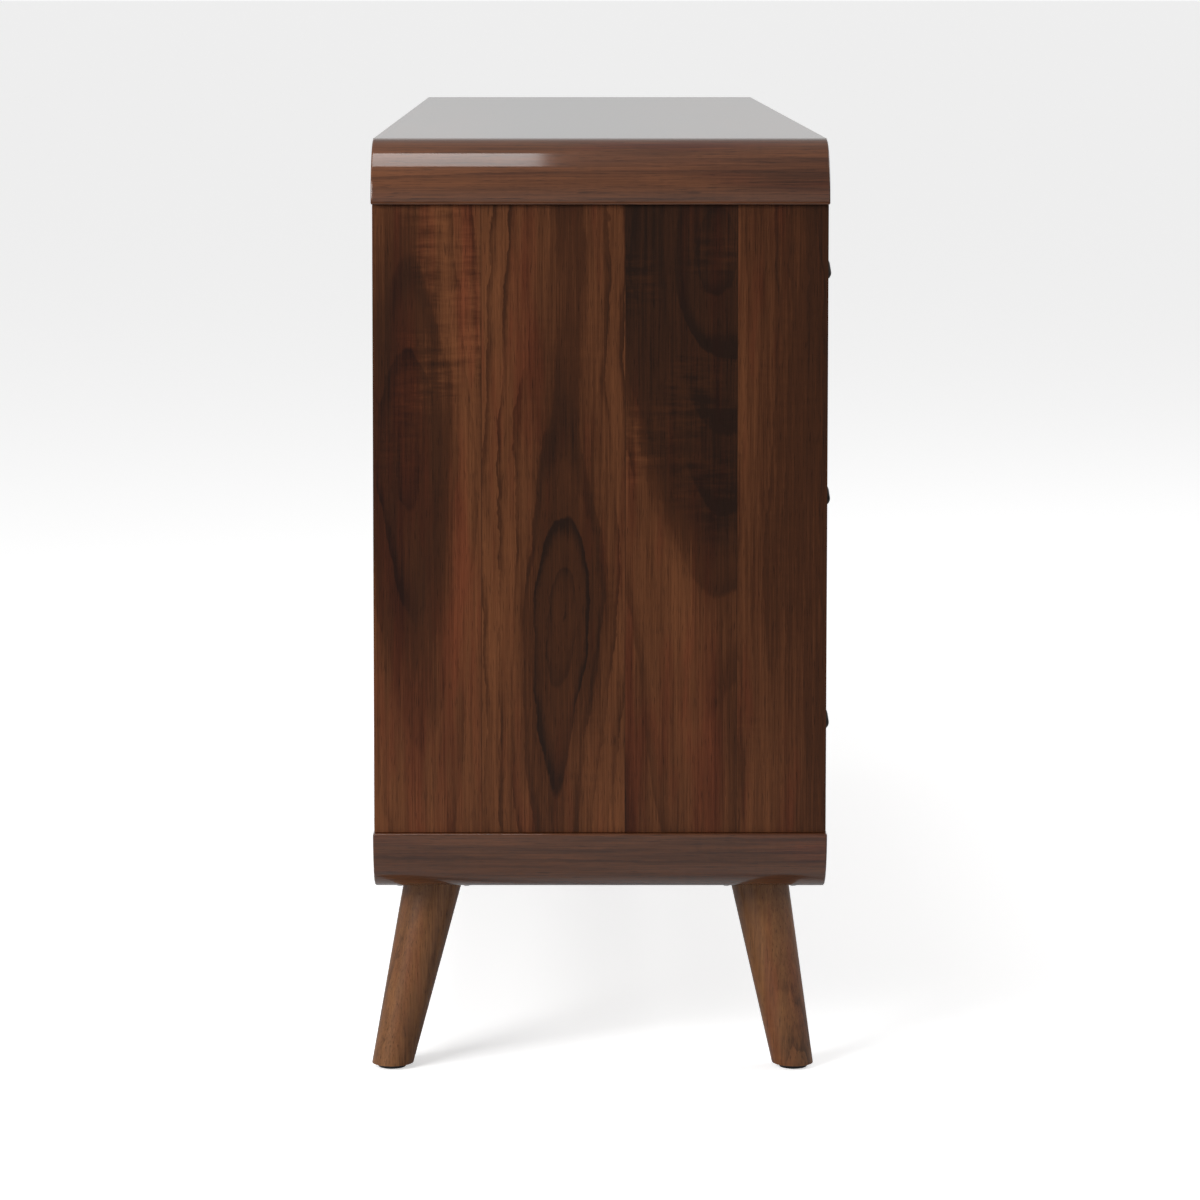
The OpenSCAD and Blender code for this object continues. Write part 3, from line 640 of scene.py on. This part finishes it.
def smooth(piece, angle=35.0):
    """Shades smoothly over soft edges, with the broad flat faces kept flat"""
    select_only(piece)
    bpy.ops.object.shade_smooth_by_angle(angle=math.radians(angle))
    apply_modifier(piece, "WEIGHTED_NORMAL", keep_sharp=True, weight=50)


def ease(piece, width, segments=2, angle=40.0):
    """Rounds every sharp edge, and shades the piece smoothly between them"""
    apply_modifier(
        piece, "BEVEL", width=width, segments=segments, limit_method="ANGLE",
        angle_limit=math.radians(angle))
    smooth(piece)


def add_block(name, low, high):
    """A cube primitive between two corners"""
    low, high = Vector(low), Vector(high)
    bpy.ops.object.select_all(action="DESELECT")
    bpy.ops.mesh.primitive_cube_add(size=1, location=(low + high) / 2, scale=high - low)
    piece = bpy.context.object
    piece.name = name
    settle(piece)
    return piece


def add_turned(name, steps, place, turn=(0.0, 0.0, 0.0), sides=32, ring=False):
    """A turned piece: a circle extruded through steps of radius and distance along its axis.

    A ring's last step is back at its first, and any other piece is closed at both ends.
    """
    radius, start = steps[0]
    bpy.ops.object.select_all(action="DESELECT")
    bpy.ops.mesh.primitive_circle_add(
        vertices=sides, radius=radius, fill_type="NOTHING" if ring else "NGON",
        location=(0, 0, start))
    piece = bpy.context.object
    piece.name = name
    settle(piece)
    edit(piece)
    extrude = bpy.ops.mesh.extrude_edges_move if ring else bpy.ops.mesh.extrude_region_move
    for wide, at in steps[1:]:
        extrude()
        bpy.ops.transform.translate(value=(0, 0, at - start))
        bpy.ops.transform.resize(
            value=(wide / radius, wide / radius, 1), center_override=(0, 0, at))
        radius, start = wide, at
    bpy.ops.mesh.select_all(action="SELECT")
    if ring:
        bpy.ops.mesh.remove_doubles(threshold=MERGE)
    bpy.ops.mesh.normals_make_consistent(inside=False)
    close()
    piece.rotation_euler = turn
    piece.location = place
    settle(piece)
    smooth(piece)
    return piece


def joined(name, pieces):
    """Several meshes as one piece"""
    select_only(*pieces)
    if len(pieces) > 1:
        bpy.ops.object.join()
    pieces[0].name = name
    return pieces[0]


def copied(piece, name, shift):
    """A copy with its own mesh, moved by a distance"""
    select_only(piece)
    bpy.ops.object.duplicate()
    twin = bpy.context.object
    twin.name = name
    twin.location = shift
    settle(twin)
    return twin


def node_copy(node, name):
    """A merged copy of a CAD node with its flat faces joined up, to be shaped further"""
    select_only(frame["nodes"][node])
    bpy.ops.object.duplicate()
    piece = bpy.context.object
    piece.name = name
    piece.parent = None
    for key in list(piece.keys()):
        del piece[key]
    piece.data.materials.clear()
    edit(piece)
    bpy.ops.mesh.remove_doubles(threshold=MERGE)
    bpy.ops.mesh.dissolve_limited(angle_limit=math.radians(0.5))
    close()
    return piece


def solids_of(node):
    """The lowest and highest corner of each separate solid in a CAD node"""
    mesh = bmesh.new()
    mesh.from_mesh(frame["nodes"][node].data)
    bmesh.ops.remove_doubles(mesh, verts=mesh.verts, dist=MERGE)
    left, boxes = set(mesh.verts), []
    while left:
        heap, points = [left.pop()], []
        while heap:
            vert = heap.pop()
            points.append(vert.co.copy())
            for edge in vert.link_edges:
                other = edge.other_vert(vert)
                if other in left:
                    left.remove(other)
                    heap.append(other)
        boxes.append(tuple(
            Vector(limit(p[axis] for p in points) for axis in range(3)) for limit in (min, max)))
    mesh.free()
    return sorted(boxes, key=lambda box: tuple(round(value, 4) for value in box[0]))


def fit_out(piece, node, *looks):
    """Gives a finished piece its finishes and body, in place of a CAD node"""
    piece.data.materials.clear()
    for look in looks:
        piece.data.materials.append(finish(look))
    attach(piece, BODY_OF[node])
    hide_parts(node)


def add_screw(name, place, turn, shank, head, head_t, long, recess):
    """A screw with a domed, cross-cut head below the origin's plane and a pointed shank above"""
    body = add_turned(
        name,
        [(0.30 * head, -head_t), (0.44 * head, -0.82 * head_t), (0.5 * head, -0.40 * head_t),
         (0.5 * head, 0.0), (0.5 * shank, 0.0), (0.5 * shank, 0.86 * long), (0.1 * shank, long)],
        (0, 0, 0), sides=20)
    arm, slot = 0.30 * head, 0.09 * head
    for wide, deep in ((arm, slot), (slot, arm)):
        cutter = add_block(
            "cutter", (-wide, -deep, -2 * head_t), (wide, deep, recess - head_t))
        apply_modifier(body, "BOOLEAN", object=cutter, operation="DIFFERENCE", solver="EXACT")
        bpy.data.objects.remove(cutter)
    body.rotation_euler = turn
    body.location = place
    settle(body)
    smooth(body, 30)
    return body


FACING_BACK = (math.radians(90), 0.0, 0.0)
FACING_FRONT = (math.radians(-90), 0.0, 0.0)


# ---------------------------------------------------------------- operators


class CONSOLE_OT_case_panels(bpy.types.Operator):
    """Ease the edges of the panels, dividers and shelves"""

    bl_idname = "console.case_panels"
    bl_label = "Case Panels"

    looks = {
        "top_panel": "top", "bottom_panel": "top", "left_side_panel": "left end",
        "right_side_panel": "right end", "left_divider": "inside", "right_divider": "inside",
        "fixed_shelf": "front", "adjustable_shelf": "front", "back_panel": "board"}

    def execute(self, context):
        for node, look in self.looks.items():
            piece = node_copy(node, f"eased_{node}")
            ease(piece, context.scene.console_case.panel_ease)
            fit_out(piece, node, look)
        return {"FINISHED"}


class CONSOLE_OT_end_mouldings(bpy.types.Operator):
    """Ease the arrises of the four rounded end mouldings"""

    bl_idname = "console.end_mouldings"
    bl_label = "End Mouldings"

    def execute(self, context):
        for node in MOULDINGS:
            piece = node_copy(node, f"eased_{node}")
            ease(piece, context.scene.console_case.moulding_ease, segments=3)
            fit_out(piece, node, "moulding")
        return {"FINISHED"}


class CONSOLE_OT_fronts(bpy.types.Operator):
    """Model the drawer fronts and doors as boards with eased edges"""

    bl_idname = "console.fronts"
    bl_label = "Drawer Fronts and Doors"

    def execute(self, context):
        for node in [f"{name}_drawer_front" for name in DRAWERS] + [f"{c}_door" for c in COLUMNS]:
            piece = add_block(f"eased_{node}", *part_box(node))
            ease(piece, context.scene.console_case.front_ease, segments=3)
            fit_out(piece, node, "front")
        return {"FINISHED"}


class CONSOLE_OT_drawer_boxes(bpy.types.Operator):
    """Ease the drawer boxes, and give each wall the grain that runs along it"""

    bl_idname = "console.drawer_boxes"
    bl_label = "Drawer Boxes"

    def execute(self, context):
        for name in DRAWERS:
            node = f"{name}_drawer_box"
            piece = node_copy(node, f"eased_{node}")
            ease(piece, context.scene.console_case.box_ease)
            fit_out(piece, node, "maple x", "maple y")
            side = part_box(node)[1].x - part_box(node)[0].x
            middle = (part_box(node)[1].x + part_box(node)[0].x) / 2
            for face in piece.data.polygons:
                if abs(face.center.x - middle) > 0.46 * side:
                    face.material_index = 1
        return {"FINISHED"}


class CONSOLE_OT_legs(bpy.types.Operator):
    """Round the feet of the four tapered legs"""

    bl_idname = "console.legs"
    bl_label = "Legs"

    def execute(self, context):
        for node in LEGS:
            piece = node_copy(node, f"turned_{node}")
            ease(piece, context.scene.console_case.foot_ease, segments=4, angle=45)
            fit_out(piece, node, "leg")
        return {"FINISHED"}


class CONSOLE_OT_leg_fittings(bpy.types.Operator):
    """Model the glides under the feet and ease the steel plates over the legs"""

    bl_idname = "console.leg_fittings"
    bl_label = "Leg Fittings"

    def execute(self, context):
        glides = []
        for low, high in solids_of("leg_glides"):
            middle, radius, tall = (low + high) / 2, (high.x - low.x) / 2, high.z - low.z
            glides.append(add_turned(
                "glide",
                [(0.80 * radius, 0.0), (0.94 * radius, 0.12 * tall), (radius, 0.40 * tall),
                 (radius, tall)],
                (middle.x, middle.y, low.z), sides=40))
        fit_out(joined("turned_leg_glides", glides), "leg_glides", "plastic")
        plates = node_copy("leg_plates", "eased_leg_plates")
        ease(plates, context.scene.console_fittings.steel_ease)
        fit_out(plates, "leg_plates", "zinc")
        return {"FINISHED"}


class CONSOLE_OT_pulls(bpy.types.Operator):
    """Model one cup pull with its bosses and screws, and copy it to every drawer"""

    bl_idname = "console.pulls"
    bl_label = "Cup Pulls"

    def execute(self, context):
        fittings = context.scene.console_fittings
        first = DRAWERS[0]
        low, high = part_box(f"{first}_drawer_pull")
        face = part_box(f"{first}_drawer_front")[0].y
        middle = (low + high) / 2
        out = face - low.y
        floor = low.z + fittings.pull_nose
        cup = add_block("cup", (low.x, low.y, floor), (high.x, face, high.z))
        edit(cup, "DESELECT")
        pick(cup, "FACE", lambda item, at: item.normal.y > 0.5 or item.normal.z < -0.5)
        bpy.ops.mesh.delete(type="FACE")
        pick(cup, "VERT", lambda item, at: at.y < face - out / 2 and at.z > middle.z)
        bpy.ops.transform.translate(value=(0, fittings.pull_lean, 0))
        front = low.y + fittings.pull_lean + 1e-4
        pick(cup, "EDGE", lambda item, at: (
            (at.y < front and abs(item.verts[0].co.z - item.verts[1].co.z) > 0.01)
            or (at.z > high.z - 1e-4 and not at.y > face - 1e-4)))
        bpy.ops.mesh.bevel(offset=fittings.pull_nose, segments=8, affect="EDGES")
        pick(cup, "EDGE", lambda item, at: at.z < floor + TOUCH)
        half, done, tucked = (high.x - low.x) / 2, 0.0, 0.0
        for share in (0.35, 0.7, 1.0):
            fall = share * (fittings.pull_nose - fittings.pull_lip)
            tuck = fittings.pull_nose - math.sqrt(fittings.pull_nose**2 - fall**2)
            bpy.ops.mesh.extrude_edges_move()
            bpy.ops.transform.translate(value=(0, 0, done - fall))
            bpy.ops.transform.resize(
                value=((half - tuck) / (half - tucked), (out - tuck) / (out - tucked), 1),
                center_override=(middle.x, face, floor - fall))
            done, tucked = fall, tuck
        bpy.ops.mesh.select_all(action="SELECT")
        bpy.ops.mesh.normals_make_consistent(inside=False)
        close()
        apply_modifier(cup, "SOLIDIFY", thickness=fittings.pull_wall, offset=-1)
        apply_modifier(
            cup, "BEVEL", width=fittings.rim_ease, segments=2, limit_method="ANGLE",
            angle_limit=math.radians(60))
        smooth(cup, 40)
        seat = high.y - fittings.fixing_head_t
        pieces = [cup]
        for side in (-1, 1):
            x = middle.x + side * fittings.screw_pitch / 2
            boss = out - 1.1 * fittings.pull_wall - fittings.pull_lean
            pieces.append(add_turned(
                "boss", [(fittings.boss_root, 0.0), (fittings.boss_end, boss)],
                (x, face, middle.z), FACING_BACK, 24))
            pieces.append(add_screw(
                "pull_screw", (x, seat, middle.z), FACING_BACK, fittings.fixing_shank,
                fittings.fixing_head, fittings.fixing_head_t, seat - face + 0.6 * out,
                fittings.recess))
        pull = joined(f"modelled_{first}_drawer_pull", pieces)
        for name in DRAWERS[1:]:
            node = f"{name}_drawer_pull"
            fit_out(copied(pull, f"modelled_{node}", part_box(node)[0] - low), node, "bronze")
        fit_out(pull, f"{first}_drawer_pull", "bronze")
        return {"FINISHED"}


class CONSOLE_OT_knobs(bpy.types.Operator):
    """Turn a knob and its screw for each door"""

    bl_idname = "console.knobs"
    bl_label = "Door Knobs"

    # The base and neck as shares of the head's radius, and the head's height as one of the reach
    base_share = 0.71
    neck_share = 0.479
    head_share = 0.472

    def execute(self, context):
        fittings = context.scene.console_fittings
        for column in COLUMNS:
            node = f"{column}_door_knob"
            low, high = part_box(node)
            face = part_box(f"{column}_door")[0].y
            middle, radius, out = (low + high) / 2, (high.x - low.x) / 2, face - low.y
            base, neck = self.base_share * radius, self.neck_share * radius
            thick = self.head_share * out
            steps = [
                (base, 0.0), (base, 0.0018), (0.96 * base, 0.0026), (0.88 * base, 0.0030),
                (1.12 * neck, 0.0034), (neck, 0.0050), (neck, out - thick - 0.0012),
                (1.10 * neck, out - thick)]
            for index in range(1, 12):
                angle = math.radians(-90 + 15 * index)
                wide = radius * math.cos(angle)
                if wide > 1.10 * neck or index > 6:
                    steps.append((wide, out - thick / 2 + thick / 2 * math.sin(angle)))
            knob = add_turned("knob", steps, (middle.x, face, middle.z), FACING_BACK, 48)
            seat = high.y - fittings.fixing_head_t
            screw = add_screw(
                "knob_screw", (middle.x, seat, middle.z), FACING_BACK, fittings.fixing_shank,
                fittings.fixing_head, fittings.fixing_head_t, seat - face + 0.4 * out,
                fittings.recess)
            fit_out(joined(f"modelled_{node}", [knob, screw]), node, "bronze")
        return {"FINISHED"}


class CONSOLE_OT_hinges(bpy.types.Operator):
    """Ease the edges of the hinge leaves and their knuckles"""

    bl_idname = "console.hinges"
    bl_label = "Hinges"

    def execute(self, context):
        for node in ("case_hinge_leaves", "left_door_hinge_leaves", "right_door_hinge_leaves"):
            piece = node_copy(node, f"eased_{node}")
            ease(piece, context.scene.console_fittings.hinge_ease)
            fit_out(piece, node, "bronze")
        return {"FINISHED"}


class CONSOLE_OT_back_fittings(bpy.types.Operator):
    """Model the cable outlets' grommets and every wood screw"""

    bl_idname = "console.back_fittings"
    bl_label = "Grommets and Wood Screws"

    def execute(self, context):
        fittings = context.scene.console_fittings
        rings = []
        for low, high in solids_of("cable_grommets"):
            middle, radius = (low + high) / 2, (high.x - low.x) / 2
            sleeve = radius - fittings.grommet_lip
            bore, deep = sleeve - fittings.grommet_wall, high.y - low.y
            under, round_off, mouth = (
                deep - fittings.grommet_flange, fittings.flange_ease, fittings.bore_ease)
            rings.append(add_turned(
                "grommet",
                [(bore, 0.0), (sleeve, 0.0), (sleeve, under), (radius, under),
                 (radius, deep - round_off), (radius - round_off, deep), (bore + mouth, deep),
                 (bore, deep - mouth), (bore, 0.0)],
                (middle.x, low.y, middle.z), FACING_FRONT, 64, ring=True))
        fit_out(joined("turned_cable_grommets", rings), "cable_grommets", "plastic")

        screws = []
        head_t = fittings.wood_head_t
        for low, high in solids_of("wood_screws"):
            middle = (low + high) / 2
            along_y = high.y - low.y > high.z - low.z
            head = high.x - low.x
            if along_y:
                place, turn = (middle.x, high.y - head_t, middle.z), FACING_BACK
                long = high.y - low.y - head_t
            else:
                place, turn = (middle.x, middle.y, low.z + head_t), (0.0, 0.0, 0.0)
                long = high.z - low.z - head_t
            if screws and along_y == screws[-1][1]:
                shift = Vector(place) - Vector(screws[-1][2])
                screws.append((copied(screws[-1][0], "wood_screw", shift), along_y, place))
            else:
                made = add_screw(
                    "wood_screw", place, turn, fittings.wood_shank, head, head_t, long,
                    fittings.recess)
                screws.append((made, along_y, place))
        fit_out(
            joined("modelled_wood_screws", [screw[0] for screw in screws]), "wood_screws", "zinc")
        return {"FINISHED"}


class CONSOLE_OT_slides(bpy.types.Operator):
    """Round the bends of the steel slides, and finish the shelf pins"""

    bl_idname = "console.slides"
    bl_label = "Slides and Shelf Pins"

    def execute(self, context):
        rails = ["case_rails", "shelf_pins"]
        rails += [f"{name}_{member}_rails" for name in DRAWERS for member in ("drawer", "middle")]
        for node in rails:
            piece = node_copy(node, f"eased_{node}")
            ease(piece, context.scene.console_fittings.steel_ease)
            fit_out(piece, node, "zinc")
        return {"FINISHED"}


def add_softbox(name, place, target, size, power):
    bpy.ops.object.light_add(type="AREA", location=place)
    light = bpy.context.object
    light.name = name
    light.data.shape = "RECTANGLE"
    light.data.size, light.data.size_y = size
    light.data.energy = power
    light.rotation_euler = (Vector(target) - Vector(place)).to_track_quat("-Z", "Y").to_euler()


class CONSOLE_OT_stage(bpy.types.Operator):
    """Set the floor, the studio lights and the camera"""

    bl_idname = "console.stage"
    bl_label = "Stage"

    # Where the lights stand, from the near end's top at mid-depth, and for the front light from
    # the middle of the top's front edge
    over_place = (-0.12, 0.56, 1.6)
    over_size = (0.92, 1.0)
    end_place = (-2.4, 2.6, 1.2)
    end_size = (1.8, 1.6)
    front_place = (0.5, -3.2, 1.8)
    front_size = (2.4, 2.0)
    # The floor as the camera sees it, and as the console does, near by and far away
    floor_size = 2000
    seen_tone = (0.92, 0.92, 0.92)
    near_tone = (0.55, 0.55, 0.55)
    far_tone = (0.10, 0.10, 0.10)
    fade_from = 1.6
    fade_to = 3.6
    seen_glow = 0.55

    def add_floor(self, level):
        """A white floor, which the console's lacquer sees dim away from the console"""
        bpy.ops.object.select_all(action="DESELECT")
        bpy.ops.mesh.primitive_plane_add(size=self.floor_size, location=(0, 0, level))
        floor = bpy.context.object
        floor.name = "studio_floor"
        settle(floor)
        material, tree, shader = new_material("studio floor")
        place = object_place(tree)
        far = add_node(tree, "ShaderNodeVectorMath", {0: place}, operation="LENGTH").outputs[1]
        seen = add_node(tree, "ShaderNodeLightPath", {}).outputs["Is Camera Ray"]
        bounced = mixed(
            tree, ranged(tree, far, self.fade_from, self.fade_to), self.near_tone, self.far_tone)
        tree.links.new(mixed(tree, seen, bounced, self.seen_tone), shader.inputs["Base Color"])
        set_shader(shader, Roughness=0.95, Specular_IOR_Level=0.1)
        shader.inputs["Emission Color"].default_value = (1.0, 1.0, 1.0, 1.0)
        tree.links.new(
            maths(tree, "MULTIPLY", seen, self.seen_glow), shader.inputs["Emission Strength"])
        floor.data.materials.append(material)

    def add_world(self, scene, strength):
        """White where the camera sees it, and softer where it lights the console"""
        world = bpy.data.worlds.new("studio")
        scene.world = world
        world.use_nodes = True
        tree = world.node_tree
        background = tree.nodes["Background"]
        background.inputs["Color"].default_value = (1.0, 1.0, 1.0, 1.0)
        seen = add_node(tree, "ShaderNodeLightPath", {}).outputs["Is Camera Ray"]
        way = add_node(tree, "ShaderNodeTexCoord", {}).outputs["Generated"]
        height = add_node(tree, "ShaderNodeSeparateXYZ", {0: way}).outputs[2]
        glow = ranged(tree, height, 0.10, 0.60, strength, 0.45 * strength)
        tree.links.new(maths(tree, "MAXIMUM", glow, seen), background.inputs["Strength"])

    def execute(self, context):
        scene = context.scene
        stage = scene.console_stage
        low, high = CAD_BOUNDS
        panel_low, panel_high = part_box("left_side_panel")
        middle = (panel_low + panel_high) / 2
        self.add_floor(low.z)
        self.add_world(scene, stage.surround)
        near = Vector((low.x, middle.y, high.z))
        over = near + Vector(self.over_place)
        add_softbox(
            "overhead_softbox", over, (over.x, over.y, 0.0), self.over_size, stage.softbox)
        add_softbox(
            "end_fill", near + Vector(self.end_place), middle, self.end_size, 2 * stage.fill)
        add_softbox(
            "front_fill", Vector((0.0, low.y, high.z)) + Vector(self.front_place),
            (0.0, 0.0, high.z / 2), self.front_size, stage.fill)

        camera = bpy.data.objects.new("camera", bpy.data.cameras.new("camera"))
        scene.collection.objects.link(camera)
        scene.camera = camera
        camera.data.lens = stage.lens
        camera.location = (
            low.x - stage.camera_distance, middle.y + stage.camera_aside,
            high.z + stage.camera_above)
        camera.rotation_euler = (math.radians(90) - stage.tilt, 0, math.radians(-90))
        camera.data.shift_x = stage.aside
        level = math.tan(stage.tilt) * stage.lens / camera.data.sensor_width
        camera.data.shift_y = level - stage.sink
        camera.data.clip_end = 1.5 * self.floor_size
        scene.view_settings.view_transform = "Standard"
        return {"FINISHED"}


OPERATORS = (
    CONSOLE_OT_case_panels, CONSOLE_OT_end_mouldings, CONSOLE_OT_fronts,
    CONSOLE_OT_drawer_boxes, CONSOLE_OT_legs, CONSOLE_OT_leg_fittings, CONSOLE_OT_pulls,
    CONSOLE_OT_knobs, CONSOLE_OT_hinges, CONSOLE_OT_back_fittings, CONSOLE_OT_slides,
    CONSOLE_OT_stage,
)


class CONSOLE_PT_panel(bpy.types.Panel):
    """Lists the pieces of the console and their settings in the sidebar"""

    bl_label = "Walnut Television Console"
    bl_idname = "CONSOLE_PT_panel"
    bl_space_type = "VIEW_3D"
    bl_region_type = "UI"
    bl_category = "Console"

    def draw(self, context):
        for operator in OPERATORS:
            self.layout.operator(operator.bl_idname)
        for name, group in GROUPS.items():
            box = self.layout.box()
            box.label(text=group.__doc__)
            for key in group.__annotations__:
                box.prop(getattr(context.scene, name), key)


CLASSES = (*GROUPS.values(), *OPERATORS, CONSOLE_PT_panel)


def register():
    for made in CLASSES:
        bpy.utils.register_class(made)
    for name, group in GROUPS.items():
        setattr(bpy.types.Scene, name, PointerProperty(type=group))


def unregister():
    for name in GROUPS:
        delattr(bpy.types.Scene, name)
    for made in reversed(CLASSES):
        bpy.utils.unregister_class(made)


def main():
    register()
    for operator in OPERATORS:
        getattr(bpy.ops.console, operator.bl_idname.split(".")[1])()


if __name__ == "__main__":
    main()
